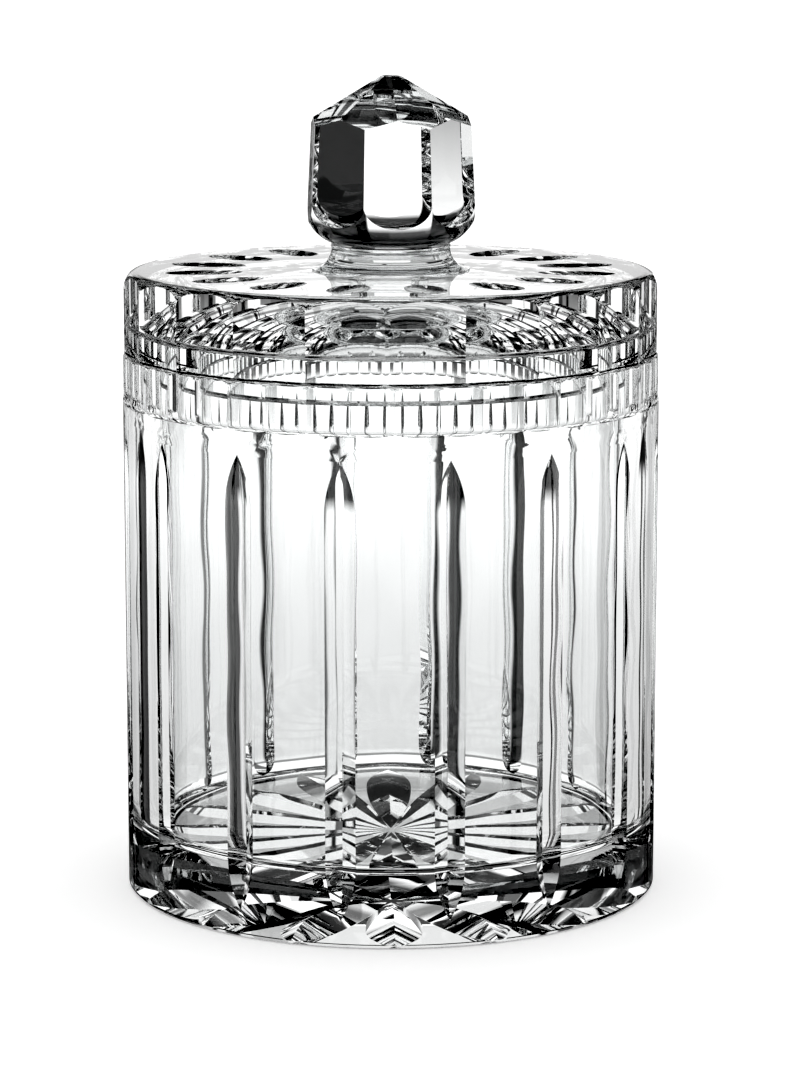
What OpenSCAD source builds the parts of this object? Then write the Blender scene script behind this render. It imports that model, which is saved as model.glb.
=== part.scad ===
// Powder jar in cut crystal: a thick straight-sided jar, a lift-off lid and a faceted knob.
// Millimetres. The origin is the centre of the base, +Z up, and -Y is the front.

/* [Jar] */
// Outer diameter of the jar
jar_d = 100; // [96:1:110]
// Height of the jar without its lid
jar_h = 101; // [90:1:130]
// Thickness of the side wall
wall = 6; // [5:0.5:7]
// Thickness of the solid base
base_h = 12; // [9:0.5:16]
// Radius between the inside wall and the inside floor
floor_fillet = 3; // [2:0.5:5]
// Radius of the outer edge of the rim
rim_round = 1; // [0.6:0.1:1.4]
// Chamfer round the foot
foot_chamfer = 0.6; // [0.3:0.1:1]

/* [Long mitre cuts] */
// Number of long upright cuts round the jar
cut_count = 16; // [8:2:16]
// Depth of each long cut
cut_depth = 2; // [1.4:0.1:2.6]
// Full angle between the two faces of a cut
cut_angle = 110; // [100:2:120]
// Height of the lower tip above the foot
cut_low = 5; // [3:0.5:8]
// Distance of the upper tip below the rim
cut_top_gap = 13; // [11:0.5:20]
// Radius of the wheel that runs out at both tips
cut_wheel_r = 25; // [20:1:40]

/* [Rim flutes] */
// Number of hollow flutes side by side round the rim
flute_count = 40; // [32:1:44]
// Depth of a flute at its middle
flute_depth = 0.7; // [0.5:0.05:0.9]
// Distance of the flutes' lower ends below the rim
flute_low = 8.8; // [6:0.2:10]
// Radius inside the lower end of a flute
flute_fillet = 0.9; // [0.6:0.1:1.2]

/* [Star under the base] */
// Number of leaf cuts in the star
star_count = 16; // [8:2:16]
// Radius at which a leaf is deepest
star_deepest_r = 35; // [30:1:38]
// Radius at which the star's leaves end
star_r = 48.5; // [44:0.5:48.5]
// Depth of a leaf at its deepest
star_depth = 2.6; // [2:0.1:3]
// Full angle between the two faces of a leaf
star_angle = 120; // [110:2:126]

/* [Lid] */
// Diameter of the lid over its ridges
lid_d = 99.4; // [96:0.2:99.4]
// Thickness of the lid's disc
lid_h = 15.4; // [14:0.2:20]
// Radius of the lid's upper shoulder
lid_shoulder = 2.9; // [2:0.1:4]
// Chamfer along the lid's lower edge
lid_chamfer = 0.5; // [0.3:0.1:0.8]
// Number of hollow facets round the lid
lid_facets = 22; // [16:1:24]
// Depth of a hollow facet at its middle
lid_facet_depth = 1.1; // [1.1:0.05:1.6]
// Height of the locating plug that drops into the jar
plug_h = 4; // [3:0.5:6]
// Gap between the plug and the jar's wall
plug_gap = 0.5; // [0.3:0.1:1]
// Radius of the hollow under the lid, inside the plug
hollow_r = 39.5; // [38:0.5:40]
// Height of the hollow's wall above the jar's rim
hollow_h = 4.4; // [3:0.2:5]
// Radius of the domed ceiling inside the hollow's wall
dome_r = 37; // [30:0.5:37]
// Rise of the dome from the top of the hollow's wall to its middle
dome_h = 7; // [4:0.5:7]
// Number of leaf cuts in the lid's top
leaf_count = 16; // [8:2:16]
// Length of a leaf
leaf_l = 14.5; // [10:0.5:16]
// Width of a leaf
leaf_w = 7.4; // [5:0.2:8]
// Depth of a leaf
leaf_depth = 1.1; // [0.6:0.1:1.4]
// Distance from the lid's axis to the middle of a leaf
leaf_mid_r = 35; // [33:0.5:36]
// Turn of the lid's cuts against the jar's cuts, in degrees
lid_turn = -2; // [-11:0.5:11]

/* [Knob] */
// Width of the knob over its corners at the widest level
knob_d = 32.7; // [28:0.1:34]
// Height of the knob above the lid
knob_h = 35.9; // [34:0.1:38]
// Number of side facets
knob_facets = 8; // [6:1:10]
// Inward lean of the side facets towards the top, in degrees
knob_lean = 2.7; // [1:0.1:4]
// Slope of the crown's ridges from the horizontal, in degrees
crown_slope = 30.7; // [28:0.1:33]
// Radius of the blunt top
crown_flat_r = 1.5; // [1:0.1:2]
// Radius of the neck
neck_r = 11.05; // [10:0.05:12]
// Radius of the foot that stands on the lid
neck_foot_r = 14.7; // [14:0.1:16]
// Turn of the knob's facets against the jar's cuts, in degrees
knob_turn = 4; // [-22:0.5:22]

/* [Hidden] */
$fn = 96;
eps = 0.01;
far = 80;
front = -90;
round_steps = 8;

jar_r = jar_d / 2;
bore_r = jar_r - wall;
mouth_chamfer = 0.8;
rim_steps = 6;
cut_step = 360 / cut_count;
cut_high = jar_h - cut_top_gap;
cut_runout = sqrt(2 * cut_wheel_r * cut_depth - cut_depth * cut_depth);
wheel_steps = 5;
mitre_clear = 1.5;
mitre_out = 16;
star_start_r = 1.5;
star_run = 1;
ridge_drop = 0.05;
flute_clear = 1;

lid_r = lid_d / 2;
lid_top_z = jar_h + lid_h;
plug_r = bore_r - plug_gap;
plug_chamfer = 0.6;
hollow_fillet = 1;
hollow_steps = 5;
dome_steps = 14;

knob_z = lid_top_z;
widest_h = 11.2;
knob_apothem = knob_d / 2 * cos(180 / knob_facets);
corner_trim = 0.05;
bowl_arc_r = 8.4;
bowl_steps = 10;
bowl_r = knob_d / 2 - corner_trim;
bowl_arc_x = bowl_r - bowl_arc_r;
bowl_mid_h = 12.8;
neck_join_h = bowl_mid_h - sqrt(bowl_arc_r * bowl_arc_r - (neck_r - bowl_arc_x) * (neck_r - bowl_arc_x));
neck_join_a = asin((bowl_mid_h - neck_join_h) / bowl_arc_r);
neck_fillet = neck_foot_r - neck_r;
foot_edge_h = 0.3;
crown_peak_h = knob_h + crown_flat_r * tan(crown_slope);
crown_face_slope = atan(tan(crown_slope) / cos(180 / knob_facets));

// Points along an arc in steps, from angle a to angle b.
function arc(cx, cy, r, a, b, steps) =
    [for (i = [0:steps]) [cx + r * cos(a + (b - a) * i / steps), cy + r * sin(a + (b - a) * i / steps)]];

// Radius of a cutting wheel that leaves a cut of this length and depth in a flat face.
function wheel_r(length, depth) = (length * length / 4 + depth * depth) / (2 * depth);

// Radius of the wheel that grinds count hollow facets side by side round a disc of radius outer.
function hollow_wheel_r(outer, depth, count) =
    let (
        half_w = outer * sin(180 / count),
        sag = depth - outer * (1 - cos(180 / count))
    )
    (half_w * half_w + sag * sag) / (2 * sag);

// Path of a cut's bottom along Z: straight for run, then up the arcs of its wheels to a height of rise.
function wheel_path(run, low_r, high_r, rise) =
    concat(
        arc(low_r, -run / 2, low_r, 180 + acos(1 - rise / low_r), 180, wheel_steps),
        arc(high_r, run / 2, high_r, 180, 180 - acos(1 - rise / high_r), wheel_steps)
    );

// Blank of the jar before it is cut, as a turned solid.
module jar_blank() {
    rotate_extrude()
        polygon(concat(
            [[0, 0], [jar_r - foot_chamfer, 0], [jar_r, foot_chamfer]],
            arc(jar_r - rim_round, jar_h - rim_round, rim_round, 0, 90, rim_steps),
            [[bore_r + mouth_chamfer, jar_h], [bore_r, jar_h - mouth_chamfer]],
            arc(bore_r - floor_fillet, base_h + floor_fillet, floor_fillet, 0, -90, round_steps),
            [[0, base_h]]
        ));
}

// One flank of a mitre cut along Z that opens towards +X, whose bottom follows path.
module mitre_flank(path, angle, side) {
    low_z = path[0][1];
    high_z = path[len(path) - 1][1];
    rotate([0, 0, side * (angle / 2 - 90)])
        rotate([90, 0, 0])
            linear_extrude(2 * mitre_out, center = true)
                polygon(concat(
                    [for (p = path) [p[0] * sin(angle / 2), p[1]]],
                    [[mitre_out, high_z], [mitre_out, low_z]]
                ));
}

// A mitre cut along Z that opens towards +X, with its sharp bottom at x = 0.
module mitre_cut(path, angle) {
    intersection() {
        mitre_flank(path, angle, 1);
        mitre_flank(path, angle, -1);
    }
}

// Cutting wheel with a rounded edge, its axis along Y.
module round_wheel(radius, edge_r) {
    rotate([90, 0, 0])
        rotate_extrude()
            intersection() {
                translate([radius - edge_r, 0])
                    circle(edge_r);
                translate([0, -edge_r])
                    square([radius, 2 * edge_r]);
            }
}

// One long mitre cut on the +X side, with a wheel run-out at each tip.
module long_cut() {
    run = cut_high - cut_low - 2 * cut_runout;
    translate([jar_r - cut_depth, 0, (cut_low + cut_high) / 2])
        mitre_cut(wheel_path(run, cut_wheel_r, cut_wheel_r, cut_depth + mitre_clear), cut_angle);
}

// One hollow flute on the +X side, open at the rim and rounded at its lower end.
module rim_flute() {
    wheel = hollow_wheel_r(jar_r - ridge_drop, flute_depth - ridge_drop, flute_count);
    translate([jar_r - flute_depth + wheel, 0, jar_h - flute_low])
        rotate_extrude()
            polygon(concat(
                [[0, 0]],
                arc(wheel - flute_fillet, flute_fillet, flute_fillet, -90, 0, wheel_steps),
                [[wheel, flute_low + flute_clear], [0, flute_low + flute_clear]]
            ));
}

// One leaf of the star, ground into the underside along +X.
module star_leaf() {
    inner_wheel = wheel_r(2 * (star_deepest_r - star_start_r) - star_run, star_depth);
    outer_wheel = wheel_r(2 * (star_r - star_deepest_r) - star_run, star_depth);
    translate([star_deepest_r, 0, star_depth])
        rotate([0, 90, 0])
            mitre_cut(wheel_path(star_run, inner_wheel, outer_wheel, star_depth + mitre_clear), star_angle);
}

// The jar, with its long cuts, the fluted band under the rim and the star under the base.
module jar() {
    color([0.90, 0.93, 0.95, 0.6])
        difference() {
            jar_blank();
            for (i = [0:cut_count - 1])
                rotate([0, 0, front + (i + 0.5) * cut_step])
                    long_cut();
            for (i = [0:flute_count - 1])
                rotate([0, 0, front + (i + 0.5) * 360 / flute_count])
                    rim_flute();
            for (i = [0:star_count - 1])
                rotate([0, 0, front + i * 360 / star_count])
                    star_leaf();
        }
}

// Blank of the lid before it is cut: a disc with a round shoulder, a domed hollow and a ring-shaped plug.
module lid_blank() {
    ball_r = wheel_r(2 * dome_r, dome_h);
    rotate_extrude()
        polygon(concat(
            arc(0, hollow_h + dome_h - ball_r, ball_r, 90, acos(dome_r / ball_r), dome_steps),
            arc(hollow_r - hollow_fillet, hollow_h - hollow_fillet, hollow_fillet, 90, 0, hollow_steps),
            [[hollow_r, plug_chamfer - plug_h], [hollow_r + plug_chamfer, -plug_h]],
            [[plug_r - plug_chamfer, -plug_h], [plug_r, plug_chamfer - plug_h], [plug_r, 0]],
            [[lid_r - lid_chamfer, 0], [lid_r, lid_chamfer]],
            arc(lid_r - lid_shoulder, lid_h - lid_shoulder, lid_shoulder, 0, 90, round_steps),
            [[0, lid_h]]
        ));
}

// One leaf ground into the top of the lid along +X.
module lid_leaf() {
    wheel = wheel_r(leaf_l, leaf_depth);
    edge = wheel_r(leaf_w, leaf_depth);
    translate([leaf_mid_r, 0, lid_h - leaf_depth + wheel])
        round_wheel(wheel, edge);
}

// The lid, with hollow facets round its side and a ring of leaves on its top.
module lid() {
    wheel = hollow_wheel_r(lid_r, lid_facet_depth, lid_facets);
    color([0.86, 0.90, 0.94, 0.6])
        translate([0, 0, jar_h])
            rotate([0, 0, lid_turn])
                difference() {
                    lid_blank();
                    for (i = [0:lid_facets - 1])
                        rotate([0, 0, front + (i + 0.5) * 360 / lid_facets])
                            translate([lid_r - lid_facet_depth + wheel, 0, -eps])
                                cylinder(h = lid_h + 2 * eps, r = wheel);
                    for (i = [0:leaf_count - 1])
                        rotate([0, 0, front + (i + 0.5) * 360 / leaf_count])
                            lid_leaf();
                }
}

// Blank of the knob before its facets are ground: a flared foot, a neck, a round bowl and a column.
module knob_blank() {
    rotate_extrude()
        polygon(concat(
            [[0, 0], [neck_foot_r, 0], [neck_foot_r, foot_edge_h]],
            arc(neck_foot_r, foot_edge_h + neck_fillet, neck_fillet, 270, 180, round_steps),
            arc(bowl_arc_x, bowl_mid_h, bowl_arc_r, -neck_join_a, 0, bowl_steps),
            [[bowl_r, knob_h], [0, knob_h]]
        ));
}

// The knob, with its leaning side facets and a pointed crown turned half a step.
module knob() {
    step = 360 / knob_facets;
    color([0.80, 0.86, 0.92, 0.6])
        translate([0, 0, knob_z])
            rotate([0, 0, knob_turn])
                difference() {
                    knob_blank();
                    for (i = [0:knob_facets - 1])
                        rotate([0, 0, front + i * step])
                            translate([knob_apothem, 0, widest_h])
                                rotate([0, -knob_lean, 0])
                                    translate([0, -far / 2, -far / 2])
                                        cube([far, far, far]);
                    for (i = [0:knob_facets - 1])
                        rotate([0, 0, front + (i + 0.5) * step])
                            translate([0, 0, crown_peak_h])
                                rotate([0, crown_face_slope, 0])
                                    translate([-far / 2, -far / 2, 0])
                                        cube([far, far, far]);
                }
}

jar();
lid();
knob();
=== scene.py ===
"""Looks of the cut crystal powder jar: three glass pieces, light, floor and camera.

Metres, +Z up, -Y is the front.
"""

import math

import bpy
import numpy as np
from mathutils import Matrix, Vector


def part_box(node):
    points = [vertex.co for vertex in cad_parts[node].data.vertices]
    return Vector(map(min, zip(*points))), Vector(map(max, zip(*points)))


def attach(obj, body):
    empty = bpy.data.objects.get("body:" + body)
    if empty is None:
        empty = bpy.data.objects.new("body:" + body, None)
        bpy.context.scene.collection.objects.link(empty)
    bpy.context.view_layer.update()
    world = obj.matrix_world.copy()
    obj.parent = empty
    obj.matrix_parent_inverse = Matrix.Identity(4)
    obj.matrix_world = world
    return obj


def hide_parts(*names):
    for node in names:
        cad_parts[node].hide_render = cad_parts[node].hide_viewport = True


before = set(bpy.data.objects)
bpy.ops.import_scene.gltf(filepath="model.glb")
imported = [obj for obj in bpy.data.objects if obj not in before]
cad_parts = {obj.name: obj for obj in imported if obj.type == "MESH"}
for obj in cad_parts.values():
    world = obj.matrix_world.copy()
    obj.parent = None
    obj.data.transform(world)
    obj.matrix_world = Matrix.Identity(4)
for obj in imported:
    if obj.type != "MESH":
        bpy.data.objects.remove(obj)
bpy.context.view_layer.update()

# ---------------------------------------------------------------- sizes of the cuts, as on the CAD part
WALL = 0.006
BASE = 0.012
FLOOR_FILLET = 0.003
RIM_ROUND = 0.001
FOOT_CHAMFER = 0.0006
MOUTH_CHAMFER = 0.0008

CUTS = 16
CUT_DEPTH = 0.002
CUT_HALF_ANGLE = math.radians(55)
CUT_LOW = 0.005
CUT_TOP_GAP = 0.013
CUT_WHEEL = 0.025

FLUTES = 40
FLUTE_DEPTH = 0.0007
FLUTE_LOW = 0.0088
FLUTE_FILLET = 0.0009
RIDGE_DROP = 0.00005

STAR_LEAVES = 16
STAR_START = 0.0015
STAR_DEEPEST = 0.035
STAR_END = 0.0485
STAR_RUN = 0.001
STAR_DEPTH = 0.0026
STAR_HALF_ANGLE = math.radians(60)

LID_FACETS = 22
LID_SHOULDER = 0.0029
LID_FACET_DEPTH = 0.0011
LID_CHAMFER = 0.0005
LID_TURN = math.radians(-2)
PLUG_H = 0.004
PLUG_GAP = 0.0005
PLUG_CHAMFER = 0.0006
HOLLOW_R = 0.0395
HOLLOW_H = 0.0044
HOLLOW_FILLET = 0.001
DOME_R = 0.037
DOME_H = 0.007
LEAVES = 16
LEAF_L = 0.0145
LEAF_W = 0.0074
LEAF_DEPTH = 0.0011
LEAF_MID = 0.035

KNOB_FACETS = 8
KNOB_LEAN = math.radians(2.7)
KNOB_WIDEST = 0.0112
KNOB_CORNER_R = 0.01635
KNOB_CORNER_TRIM = 0.00005
KNOB_TURN = math.radians(4)
CROWN_SLOPE = math.radians(30.7)
CROWN_FLAT = 0.0015
NECK_R = 0.01105
NECK_FOOT_R = 0.0147
NECK_FOOT_EDGE = 0.0003
CEMENT = 0.00004
BOWL_ARC = 0.0084
BOWL_MID = 0.0128

FRONT = math.radians(-90)

# ---------------------------------------------------------------- glass and studio
GLASS_IOR = 1.545
GLASS_COLOUR = (0.985, 0.992, 0.992, 1)
GRAIN = 0.02
GRAIN_SCALE = 90
GRAIN_DEPTH = 0.0002
# Light that the glass sees, over the plain white of the floor and the backdrop
GLASS_LIGHT = 1.25
# Dark gaps between the panels: centre, half width and period in degrees from +Y, then their grey
LOW_GAPS = (
    (-25.4, 0.9, 90, 0.02),
    (-31.6, 2.2, 90, 0.2),
    (-64.3, 7.2, 180, 0.12),
    (28.8, 1.8, 90, 0.05),
    (20.5, 3.2, 90, 0.7),
    (33.7, 0.6, 90, 0.02),
)
HIGH_GAP = (22.5, 10.5, 45, 0.02)
# Degrees over which a gap fades at its edge
GAP_SOFT = 0.8
# The ramps below run from straight down at 0, through the horizon at 0.5, to straight up at 1
HIGH_STOPS = ((0.0, 0.0), (0.42, 0.0), (0.45, 1.0), (1.0, 1.0))
SKY_STOPS = (
    (0.0, 0.1),
    (0.08, 0.1),
    (0.1, 1.0),
    (0.26, 1.0),
    (0.28, 0.3),
    (0.3, 0.3),
    (0.32, 0.8),
    (0.35, 0.75),
    (0.375, 0.66),
    (0.39, 0.68),
    (0.4, 0.71),
    (0.412, 0.82),
    (0.425, 0.98),
    (0.57, 1.0),
    (0.62, 0.1),
    (0.72, 0.02),
    (1.0, 0.02),
)
LAMP_STOPS = ((0.0, 0.0), (0.93, 0.0), (0.95, 0.5), (1.0, 0.5))
SHINE_STOPS = ((0.0, 0.15), (0.49, 0.15), (0.54, 1.0), (1.0, 1.0))
FLOOR_HALF = 30.0
FLOOR_GAP = 0.0002
FLOOR_GREY = (0.8, 0.8, 0.8)
FLOOR_ROUGH = 0.8
FLOOR_GLOW = 0.35
TONE_GAMMA = 0.8
TONE_BLACK = (0.05, 0.05, 0.05)
TONE_WHITE = (0.94, 0.94, 0.94)

jar_low, jar_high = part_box("jar")
_, lid_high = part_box("lid")
knob_low, knob_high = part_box("knob")
JAR_R = (jar_high.y - jar_low.y) / 2
JAR_H = jar_high.z
BORE_R = JAR_R - WALL
LID_R = 0.0497
LID_TOP = lid_high.z
KNOB_H = knob_high.z - knob_low.z


# ---------------------------------------------------------------- mesh helpers
def ring(radius, height, angle):
    """One closed row of points, from arrays or numbers of radius, height and angle."""
    radius, height, angle = np.broadcast_arrays(radius, height, angle)
    return np.stack([radius * np.cos(angle), radius * np.sin(angle), height], axis=1)


def loft(name, rows, low_pole, high_pole, sharp_deg):
    """A closed mesh through closed rows of equal length, with a pole at each end."""
    cols = len(rows[0])
    points = np.concatenate(rows + [np.array([low_pole, high_pole])])
    here = np.arange(cols)
    after = (here + 1) % cols
    faces = []
    for row in range(len(rows) - 1):
        a, b = row * cols, (row + 1) * cols
        faces.extend(np.stack([a + here, a + after, b + after, b + here], axis=1).tolist())
    last = (len(rows) - 1) * cols
    low, high = len(points) - 2, len(points) - 1
    for a, b in zip(here.tolist(), after.tolist()):
        faces.append([low, b, a])
    for a, b in zip(here.tolist(), after.tolist()):
        faces.append([high, last + a, last + b])
    mesh = bpy.data.meshes.new(name)
    mesh.from_pydata(points.tolist(), [], faces)
    mesh.validate()
    mesh.shade_smooth()
    mesh.set_sharp_from_angle(angle=math.radians(sharp_deg))
    piece = bpy.data.objects.new(name, mesh)
    bpy.context.scene.collection.objects.link(piece)
    return piece


def spread(cols, cells, edge, inner):
    """Angles of cols columns in equal cells; the middle 2 * inner columns of each span the edge angle."""
    per_cell = cols // cells
    half = per_cell // 2
    pitch = math.pi / cells
    k = np.arange(cols) % per_cell - half
    inside = np.abs(k) <= inner
    middle = edge * np.abs(k) / inner
    outside = edge + (pitch - edge) * (np.abs(k) - inner) / (half - inner)
    offset = np.sign(k) * np.where(inside, middle, outside)
    centre = (np.arange(cols) // per_cell + 0.5) * 2 * pitch
    return centre + offset, offset


def arc_drop(distance, run, wheel):
    """How far a wheel's cut has risen from its bottom at this distance from the cut's middle."""
    past = np.maximum(np.abs(distance) - run / 2, 0)
    return wheel - np.sqrt(np.maximum(wheel * wheel - past * past, 0))


def wheel_for(length, depth):
    """Radius of the wheel that leaves a cut of this length and depth in a flat face."""
    return (length * length / 4 + depth * depth) / (2 * depth)


# ---------------------------------------------------------------- jar
JAR_COLS = 640
CUT_INNER = 5
FLUTE_INNER = 6
STAR_INNER = 8
# Samples across half a leaf that find where it opens, and the most of its sector that it may take
STAR_SAMPLES = 400
STAR_FILL = 0.98
FLUTE_FILL = 0.97
# Ring of the flat foot outside the star, and the step that keeps a row inside a cut's tip
FOOT_RING = 0.004
TIP_STEP = 1e-6
WAVE = 0.000012
CUT_RUNOUT = math.sqrt(2 * CUT_WHEEL * CUT_DEPTH - CUT_DEPTH**2)
CUT_MID = (CUT_LOW + JAR_H - CUT_TOP_GAP) / 2
CUT_LEN = JAR_H - CUT_TOP_GAP - CUT_LOW
CUT_RUN = CUT_LEN - 2 * CUT_RUNOUT
# Smallest opening of a cut, which keeps its columns apart where it closes
SLIVER = math.radians(0.12)


def long_cut_row(z):
    """A row of the jar's wall through the long mitre cuts."""
    bottom = JAR_R - CUT_DEPTH + arc_drop(z - CUT_MID, CUT_RUN, CUT_WHEEL)
    lean = 1 / math.tan(CUT_HALF_ANGLE)
    tilt = math.atan(lean)
    reach = min(bottom / JAR_R / math.hypot(1, lean), math.cos(tilt + SLIVER))
    angle, offset = spread(JAR_COLS, CUTS, math.acos(reach) - tilt, CUT_INNER)
    radius = bottom / (np.cos(offset) - lean * np.sin(np.abs(offset)))
    return ring(np.minimum(radius, JAR_R), z, angle + FRONT)


def hollow_radius(outer, depth, count):
    """Distance of the wheel's axis, and its radius, for count hollow facets round a disc of this radius."""
    half = math.pi / count
    half_w = outer * math.sin(half)
    sag = depth - outer * (1 - math.cos(half))
    wheel = (half_w**2 + sag**2) / (2 * sag)
    return outer - depth + wheel, wheel


def flute_row(z):
    """A row of the jar's wall through the hollow flutes under the rim."""
    axis_r, wheel = hollow_radius(JAR_R - RIDGE_DROP, FLUTE_DEPTH - RIDGE_DROP, FLUTES)
    short = max(FLUTE_FILLET - (z - (JAR_H - FLUTE_LOW)), 0)
    wheel -= FLUTE_FILLET - math.sqrt(FLUTE_FILLET**2 - short**2)
    reach = (JAR_R**2 + axis_r**2 - wheel**2) / (2 * JAR_R * axis_r)
    limit = math.pi / FLUTES * FLUTE_FILL
    edge = min(max(math.acos(min(reach, 1)), SLIVER), limit)
    angle, offset = spread(JAR_COLS, FLUTES, edge, FLUTE_INNER)
    inside = wheel**2 - (axis_r * np.sin(offset)) ** 2
    radius = axis_r * np.cos(offset) - np.sqrt(np.maximum(inside, 0))
    return ring(np.where(inside > 0, np.minimum(radius, JAR_R), JAR_R), z, angle + FRONT)


def star_rows():
    """Rows of the underside from the middle outwards, through the star's leaves."""
    rows = []
    sector = math.pi / STAR_LEAVES
    inner = STAR_START + (STAR_DEEPEST - STAR_START) * np.linspace(0, 1, 14) ** 1.3
    outer = STAR_DEEPEST + (STAR_END - STAR_DEEPEST) * np.sin(np.linspace(0, math.pi / 2, 14))
    for rho in np.concatenate([inner, outer[1:]]):
        phi = np.linspace(0, sector, STAR_SAMPLES)
        depth = leaf_height(rho, phi)
        open_to = phi[depth > 0].max() if (depth > 0).any() else SLIVER
        edge = min(max(open_to, SLIVER), sector * STAR_FILL)
        angle, offset = spread(JAR_COLS, STAR_LEAVES, edge, STAR_INNER)
        height = np.maximum(leaf_height(rho, np.abs(offset)), 0)
        rows.append(ring(rho, height, angle + FRONT - sector))
    return rows


def leaf_height(rho, phi):
    """Height of a star leaf's surface over the underside; negative outside the leaf."""
    along = rho * np.cos(phi) - STAR_DEEPEST
    inner_wheel = wheel_for(2 * (STAR_DEEPEST - STAR_START) - STAR_RUN, STAR_DEPTH)
    outer_wheel = wheel_for(2 * (STAR_END - STAR_DEEPEST) - STAR_RUN, STAR_DEPTH)
    inner = arc_drop(np.minimum(along, 0), STAR_RUN, inner_wheel)
    outer = arc_drop(np.maximum(along, 0), STAR_RUN, outer_wheel)
    return STAR_DEPTH - inner - outer - rho * np.sin(phi) / math.tan(STAR_HALF_ANGLE)


def wavy(angle, z):
    """Slight unevenness of the jar's inside, as a mould and the fire polish leave it."""
    slow = np.sin(3 * angle + 90 * z) + 0.7 * np.sin(5 * angle - 140 * z + 1.3)
    fine = 0.5 * np.sin(16 * angle + 210 * z + 0.6) + 0.4 * np.sin(23 * angle - 330 * z)
    return WAVE * (slow + fine)


def make_jar():
    """The jar: underside, wall, rim, inside wall and inside floor."""
    even = np.arange(JAR_COLS) / JAR_COLS * 2 * math.pi + FRONT
    rows = star_rows()
    rows.append(ring(JAR_R - FOOT_RING, 0, even))
    rows.append(ring(JAR_R - FOOT_CHAMFER, 0, even))
    cut_high = JAR_H - CUT_TOP_GAP
    rows.append(long_cut_row(FOOT_CHAMFER))
    for t in np.linspace(0, 1, 13):
        rows.append(long_cut_row(CUT_LOW + TIP_STEP + CUT_RUNOUT * t**1.6))
    for t in np.linspace(0, 1, 8)[1:-1]:
        rows.append(long_cut_row(CUT_LOW + CUT_RUNOUT + CUT_RUN * t))
    for t in np.linspace(1, 0, 13):
        rows.append(long_cut_row(cut_high - TIP_STEP - CUT_RUNOUT * t**1.6))
    flute_low = JAR_H - FLUTE_LOW
    rows.append(ring(JAR_R, (cut_high + flute_low) / 2, even))
    for a in np.linspace(0, math.pi / 2, 9):
        rows.append(flute_row(flute_low + TIP_STEP + FLUTE_FILLET * (1 - math.cos(a))))
    for z in np.linspace(flute_low + FLUTE_FILLET, JAR_H - RIM_ROUND, 8)[1:]:
        rows.append(flute_row(z))
    for a in np.linspace(0, math.pi / 2, 9)[1:]:
        row = flute_row(JAR_H - RIM_ROUND)
        radius = np.hypot(row[:, 0], row[:, 1])
        shrunk = np.minimum(radius, JAR_R - RIM_ROUND * (1 - math.cos(a))) / radius
        row[:, 0] *= shrunk
        row[:, 1] *= shrunk
        row[:, 2] = JAR_H - RIM_ROUND * (1 - math.sin(a))
        rows.append(row)
    rows.append(ring(BORE_R + MOUTH_CHAMFER, JAR_H, even))
    for z in np.linspace(JAR_H - MOUTH_CHAMFER, BASE + FLOOR_FILLET, 40):
        rows.append(ring(BORE_R + wavy(even, z), z, even))
    for a in np.linspace(0, math.pi / 2, 9)[1:]:
        radius = BORE_R - FLOOR_FILLET * (1 - math.cos(a)) + wavy(even, BASE) * math.cos(a)
        rows.append(ring(radius, BASE + FLOOR_FILLET * (1 - math.sin(a)), even))
    for radius in np.linspace(BORE_R - FLOOR_FILLET, 0.002, 12)[1:]:
        rows.append(ring(radius, BASE, even))
    return loft("jar_glass", rows, (0, 0, 0), (0, 0, BASE), 12)


# ---------------------------------------------------------------- lid
LID_COLS = LID_FACETS * 32
LEAF_STEPS = 22
LEAF_SAMPLES = 300
LEAF_INNER = 12
LID_EDGE = 0.00012
LID_TOP_RINGS = (0.024, 0.019, 0.014, 0.008, 0.002)


def hollow_facets(offset):
    """Radius of the lid's side across a hollow facet, at this angle from the facet's middle."""
    axis_r, wheel = hollow_radius(LID_R, LID_FACET_DEPTH, LID_FACETS)
    return axis_r * np.cos(offset) - np.sqrt(wheel**2 - (axis_r * np.sin(offset)) ** 2)


def lid_leaf_depth(rho, phi):
    """Depth of a leaf in the lid's top; negative outside the leaf."""
    wheel = wheel_for(LEAF_L, LEAF_DEPTH)
    edge = wheel_for(LEAF_W, LEAF_DEPTH)
    across = np.sqrt(np.maximum(edge**2 - (rho * np.sin(phi)) ** 2, 0))
    reach = np.maximum((wheel - edge + across) ** 2 - (rho * np.cos(phi) - LEAF_MID) ** 2, 0)
    return np.sqrt(reach) - (wheel - LEAF_DEPTH)


def leaf_rows():
    """Rows of the lid's top through its ring of leaves, from outside to inside."""
    rows = []
    for i in range(LEAF_STEPS + 1):
        rho = LEAF_MID + LEAF_L / 2 * math.cos(math.pi * i / LEAF_STEPS)
        phi = np.linspace(0, math.pi / LEAVES, LEAF_SAMPLES)
        depth = lid_leaf_depth(rho, phi)
        open_to = phi[depth > 0].max() if (depth > 0).any() else SLIVER
        angle, offset = spread(LID_COLS, LEAVES, max(open_to, SLIVER), LEAF_INNER)
        drop = np.maximum(lid_leaf_depth(rho, np.abs(offset)), 0)
        rows.append(ring(rho, LID_TOP - drop, angle + FRONT + LID_TURN))
    return rows


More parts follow.
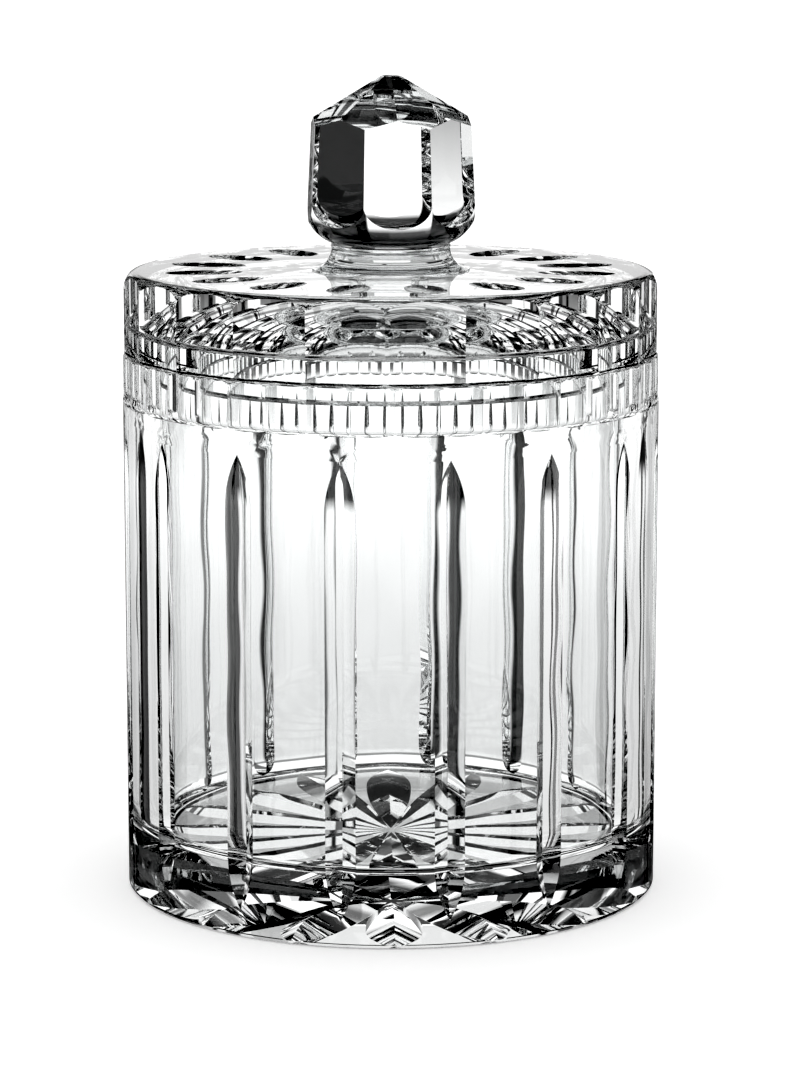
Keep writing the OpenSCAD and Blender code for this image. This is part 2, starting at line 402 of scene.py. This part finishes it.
def make_lid():
    """The lid: domed hollow, plug, faceted side, shoulder and the top with its leaves."""
    even = np.arange(LID_COLS) / LID_COLS * 2 * math.pi
    turn = even + FRONT + LID_TURN
    pitch = 2 * math.pi / LID_FACETS
    side = hollow_facets(even % pitch - pitch / 2)
    plug_r = BORE_R - PLUG_GAP
    under = JAR_H - PLUG_H
    ceiling = JAR_H + HOLLOW_H
    ball = wheel_for(2 * DOME_R, DOME_H)
    rows = []
    for radius in np.linspace(0.0005, DOME_R, 36):
        rows.append(ring(radius, ceiling + DOME_H - arc_drop(radius, 0, ball), turn))
    for a in np.linspace(math.pi / 2, 0, 9):
        radius = HOLLOW_R - HOLLOW_FILLET * (1 - math.cos(a))
        rows.append(ring(radius, ceiling - HOLLOW_FILLET * (1 - math.sin(a)), turn))
    rows.append(ring(HOLLOW_R, under + PLUG_CHAMFER, turn))
    rows.append(ring(HOLLOW_R + PLUG_CHAMFER, under, turn))
    rows.append(ring(plug_r - PLUG_CHAMFER, under, turn))
    rows.append(ring(plug_r, under + PLUG_CHAMFER, turn))
    rows.append(ring(plug_r, JAR_H, turn))
    foot = np.minimum(side - LID_EDGE, LID_R - LID_CHAMFER)
    foot_z = JAR_H + np.maximum(side - (LID_R - LID_CHAMFER), LID_EDGE)
    rows.append(ring(foot, JAR_H, turn))
    shoulder_r = LID_R - LID_SHOULDER
    start = np.arccos(np.clip((side - shoulder_r) / LID_SHOULDER, -1, 1))
    arch_z = LID_TOP - LID_SHOULDER + LID_SHOULDER * np.sin(start)
    for t in np.linspace(0, 1, 5):
        rows.append(ring(side, foot_z + (arch_z - foot_z) * t, turn))
    for t in np.linspace(0, 1, 9)[1:]:
        a = start + (math.pi / 2 - start) * t
        z = LID_TOP - LID_SHOULDER + LID_SHOULDER * np.sin(a)
        rows.append(ring(shoulder_r + LID_SHOULDER * np.cos(a), z, turn))
    rows.append(ring((shoulder_r + LEAF_MID + LEAF_L / 2) / 2, LID_TOP, turn))
    rows.extend(leaf_rows())
    rows.extend(ring(r, LID_TOP, turn) for r in LID_TOP_RINGS)
    return loft("lid_glass", rows, (0, 0, ceiling + DOME_H), (0, 0, LID_TOP), 14)


# ---------------------------------------------------------------- knob
KNOB_COLS = KNOB_FACETS * 40
BOWL_CENTRE_R = KNOB_CORNER_R - KNOB_CORNER_TRIM - BOWL_ARC
CROWN_DROP = 0.0002
TIP_RINGS = ((0.0011, 0.00005), (0.0006, 0.0))
HALVINGS = 40


def bowl_radius(z):
    """Radius of the knob's round bowl at this height over its foot."""
    return BOWL_CENTRE_R + np.sqrt(np.maximum(BOWL_ARC**2 - (BOWL_MID - z) ** 2, 0))


def make_knob():
    """The knob: flared foot, neck, round bowl, leaning side facets and pointed crown."""
    base = knob_low.z
    pitch = 2 * math.pi / KNOB_FACETS
    even = np.arange(KNOB_COLS) / KNOB_COLS * 2 * math.pi
    turn = even + FRONT + KNOB_TURN - pitch / 2
    psi = np.abs(even % pitch - pitch / 2)
    flat = KNOB_CORNER_R * math.cos(pitch / 2)
    lean = math.tan(KNOB_LEAN)
    peak = KNOB_H + CROWN_FLAT * math.tan(CROWN_SLOPE)
    crown = math.tan(CROWN_SLOPE) / math.cos(pitch / 2)
    side_cos = np.cos(psi)
    crown_cos = np.cos(pitch / 2 - psi)

    def side_radius(z):
        return (flat - lean * (z - KNOB_WIDEST)) / side_cos

    def crown_radius(z):
        return (peak - z) / crown / crown_cos

    low = np.full(KNOB_COLS, BOWL_MID - BOWL_ARC * 0.8)
    high = np.full(KNOB_COLS, BOWL_MID)
    for _ in range(HALVINGS):
        mid = (low + high) / 2
        below = bowl_radius(mid) < side_radius(mid)
        low = np.where(below, mid, low)
        high = np.where(below, high, mid)
    arch_low = high
    arch_high = (peak / crown / crown_cos - (flat + lean * KNOB_WIDEST) / side_cos) / (
        1 / crown / crown_cos - lean / side_cos
    )
    fillet = NECK_FOOT_R - NECK_R
    neck_join = BOWL_MID - math.sqrt(BOWL_ARC**2 - (NECK_R - BOWL_CENTRE_R) ** 2)
    rows = [ring(r, base - CEMENT, turn) for r in (0.002, 0.008, NECK_FOOT_R)]
    rows.append(ring(NECK_FOOT_R, base + NECK_FOOT_EDGE, turn))
    for a in np.linspace(0, math.pi / 2, 11)[1:]:
        radius = NECK_FOOT_R - fillet * math.sin(a)
        rows.append(ring(radius, base + NECK_FOOT_EDGE + fillet * (1 - math.cos(a)), turn))
    for t in np.linspace(0, 1, 18):
        z = neck_join + (arch_low - neck_join) * (1 - (1 - t) ** 1.3)
        radius = bowl_radius(z) if t > 0 else NECK_R
        rows.append(ring(radius, base + z, turn))
    for t in np.linspace(0, 1, 8)[1:]:
        z = arch_low + (arch_high - arch_low) * t
        rows.append(ring(side_radius(z), base + z, turn))
    top = KNOB_H - CROWN_DROP
    for t in np.linspace(0, 1, 8)[1:]:
        z = arch_high + (top - arch_high) * t
        rows.append(ring(crown_radius(z), base + z, turn))
    for radius, drop in TIP_RINGS:
        rows.append(ring(radius, base + KNOB_H - drop, turn))
    return loft("knob_glass", rows, (0, 0, base - CEMENT), (0, 0, base + KNOB_H), 12)


# ---------------------------------------------------------------- materials
def glass(name):
    """Clear crystal: colourless and polished, with a very faint unevenness of its surface."""
    mat = bpy.data.materials.new(name)
    mat.use_nodes = True
    nodes, links = mat.node_tree.nodes, mat.node_tree.links
    shader = nodes["Principled BSDF"]
    shader.inputs["Base Color"].default_value = GLASS_COLOUR
    shader.inputs["Roughness"].default_value = 0
    shader.inputs["IOR"].default_value = GLASS_IOR
    shader.inputs["Transmission Weight"].default_value = 1
    place = nodes.new("ShaderNodeTexCoord")
    noise = nodes.new("ShaderNodeTexNoise")
    noise.inputs["Scale"].default_value = GRAIN_SCALE
    noise.inputs["Detail"].default_value = 2
    bump = nodes.new("ShaderNodeBump")
    bump.inputs["Strength"].default_value = GRAIN
    bump.inputs["Distance"].default_value = GRAIN_DEPTH
    links.new(place.outputs["Object"], noise.inputs["Vector"])
    links.new(noise.outputs["Fac"], bump.inputs["Height"])
    links.new(bump.outputs["Normal"], shader.inputs["Normal"])
    return mat


def plain(name, colour, roughness):
    """An even matt material."""
    mat = bpy.data.materials.new(name)
    mat.use_nodes = True
    shader = mat.node_tree.nodes["Principled BSDF"]
    shader.inputs["Base Color"].default_value = (*colour, 1)
    shader.inputs["Roughness"].default_value = roughness
    return mat


# ---------------------------------------------------------------- studio
def math_node(tree, kind, a, b=0.0, c=0.0):
    """A Math node of this kind; a, b and c are numbers or sockets."""
    node = tree.nodes.new("ShaderNodeMath")
    node.operation = kind
    for socket, value in zip(node.inputs, (a, b, c)):
        if isinstance(value, (int, float)):
            socket.default_value = value
        else:
            tree.links.new(value, socket)
    return node.outputs[0]


def grey_ramp(tree, value, stops):
    """A colour ramp over value through (place, grey) stops."""
    node = tree.nodes.new("ShaderNodeValToRGB")
    elements = node.color_ramp.elements
    for at, _ in stops[2:]:
        elements.new(at)
    for stop, (at, grey) in zip(elements, stops):
        stop.position = at
        stop.color = (grey, grey, grey, 1)
    tree.links.new(value, node.inputs[0])
    return node.outputs[0]


def make_floor():
    """Pale paper to the horizon. Glass sees the studio's own light from below instead of it."""
    corners = ((-1, -1), (1, -1), (1, 1), (-1, 1))
    mesh = bpy.data.meshes.new("floor")
    mesh.from_pydata([(FLOOR_HALF * x, FLOOR_HALF * y, -FLOOR_GAP) for x, y in corners], [], [(0, 1, 2, 3)])
    floor = bpy.data.objects.new("floor", mesh)
    bpy.context.scene.collection.objects.link(floor)
    paper = plain("floor_paper", FLOOR_GREY, FLOOR_ROUGH)
    shader = paper.node_tree.nodes["Principled BSDF"]
    shader.inputs["Specular IOR Level"].default_value = 0
    shader.inputs["Emission Color"].default_value = (1, 1, 1, 1)
    shader.inputs["Emission Strength"].default_value = FLOOR_GLOW
    mesh.materials.append(paper)
    floor.visible_glossy = False
    floor.visible_transmission = False


def gap(tree, azimuth, centre, half_width, period, dark):
    """1, and dark in a gap that repeats round the object; all angles in degrees."""
    turns = math_node(tree, "MULTIPLY_ADD", azimuth, 1 / period, 100.5 - centre / period)
    away = math_node(tree, "ABSOLUTE", math_node(tree, "SUBTRACT", math_node(tree, "FRACT", turns), 0.5))
    edge = math_node(tree, "MULTIPLY_ADD", away, period / GAP_SOFT, 0.5 - half_width / GAP_SOFT)
    return math_node(tree, "MAXIMUM", math_node(tree, "MINIMUM", edge, 1), dark)


def studio_panels(tree, x, y, height):
    """White panels round the object, with narrow dark gaps low down and wide ones higher up."""
    azimuth = math_node(tree, "MULTIPLY", math_node(tree, "ARCTAN2", x, y), 180 / math.pi)
    low = 1
    for place in LOW_GAPS:
        low = math_node(tree, "MULTIPLY", gap(tree, azimuth, *place), low)
    change = math_node(tree, "SUBTRACT", gap(tree, azimuth, *HIGH_GAP), low)
    return math_node(tree, "MULTIPLY_ADD", change, grey_ramp(tree, height, HIGH_STOPS), low)


def make_world():
    """Even white light. Glass sees the panels under a black ceiling with one soft lamp.

    Mirror reflections off the outside of the glass are dimmed below the horizon.
    """
    world = bpy.data.worlds.new("studio")
    bpy.context.scene.world = world
    world.use_nodes = True
    tree = world.node_tree
    place = tree.nodes.new("ShaderNodeTexCoord")
    split = tree.nodes.new("ShaderNodeSeparateXYZ")
    tree.links.new(place.outputs["Generated"], split.inputs[0])
    height = math_node(tree, "MULTIPLY_ADD", split.outputs["Z"], 0.5, 0.5)
    panels = studio_panels(tree, split.outputs["X"], split.outputs["Y"], height)
    lamp = grey_ramp(tree, height, LAMP_STOPS)
    sky = math_node(tree, "MULTIPLY", panels, grey_ramp(tree, height, SKY_STOPS))
    lit = math_node(tree, "MAXIMUM", sky, lamp)
    path = tree.nodes.new("ShaderNodeLightPath")
    glossy, through = path.outputs["Is Glossy Ray"], path.outputs["Is Transmission Ray"]
    mirrored = math_node(tree, "MAXIMUM", math_node(tree, "SUBTRACT", glossy, through), 0)
    loss = math_node(tree, "SUBTRACT", 1, grey_ramp(tree, height, SHINE_STOPS))
    dimmed = math_node(tree, "SUBTRACT", 1, math_node(tree, "MULTIPLY", mirrored, loss))
    glass_sees = math_node(tree, "MULTIPLY", math_node(tree, "MULTIPLY", lit, dimmed), GLASS_LIGHT)
    plainly = math_node(tree, "MAXIMUM", path.outputs["Is Camera Ray"], path.outputs["Is Diffuse Ray"])
    tree.links.new(math_node(tree, "MAXIMUM", glass_sees, plainly), tree.nodes["Background"].inputs["Color"])


def make_camera():
    """Long lens a little above the object, turned a little to its left."""
    distance, height = 0.700, 0.191
    azimuth, pitch = math.radians(-0.85), math.radians(-10.19)
    aside = math.radians(0.17)
    data = bpy.data.cameras.new("camera")
    data.sensor_fit = "VERTICAL"
    data.sensor_height = 24
    data.lens = 83.9
    data.clip_start = 0.01
    camera = bpy.data.objects.new("camera", data)
    bpy.context.scene.collection.objects.link(camera)
    spot = Vector((distance * math.sin(azimuth), -distance * math.cos(azimuth), height))
    camera.matrix_world = (
        Matrix.Translation(spot)
        @ Matrix.Rotation(azimuth - aside, 4, "Z")
        @ Matrix.Rotation(math.pi / 2 + pitch, 4, "X")
    )
    bpy.context.scene.camera = camera


make_camera()
make_world()
make_floor()
scene = bpy.context.scene
scene.view_settings.view_transform = "Standard"
scene.view_settings.gamma = TONE_GAMMA
scene.view_settings.use_curve_mapping = True
tone_curve = scene.view_settings.curve_mapping
tone_curve.black_level = TONE_BLACK
tone_curve.white_level = TONE_WHITE
tone_curve.update()
scene.cycles.max_bounces = 32
scene.cycles.transmission_bounces = 32
scene.cycles.glossy_bounces = 16

for build, body, node, slot in (
    (make_jar, "jar", "jar", "jar_glass"),
    (make_lid, "lid", "lid", "lid_glass"),
    (make_knob, "lid", "knob", "knob_glass"),
):
    piece = build()
    piece.data.materials.append(glass(slot + "_crystal"))
    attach(piece, body)
    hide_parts(node)
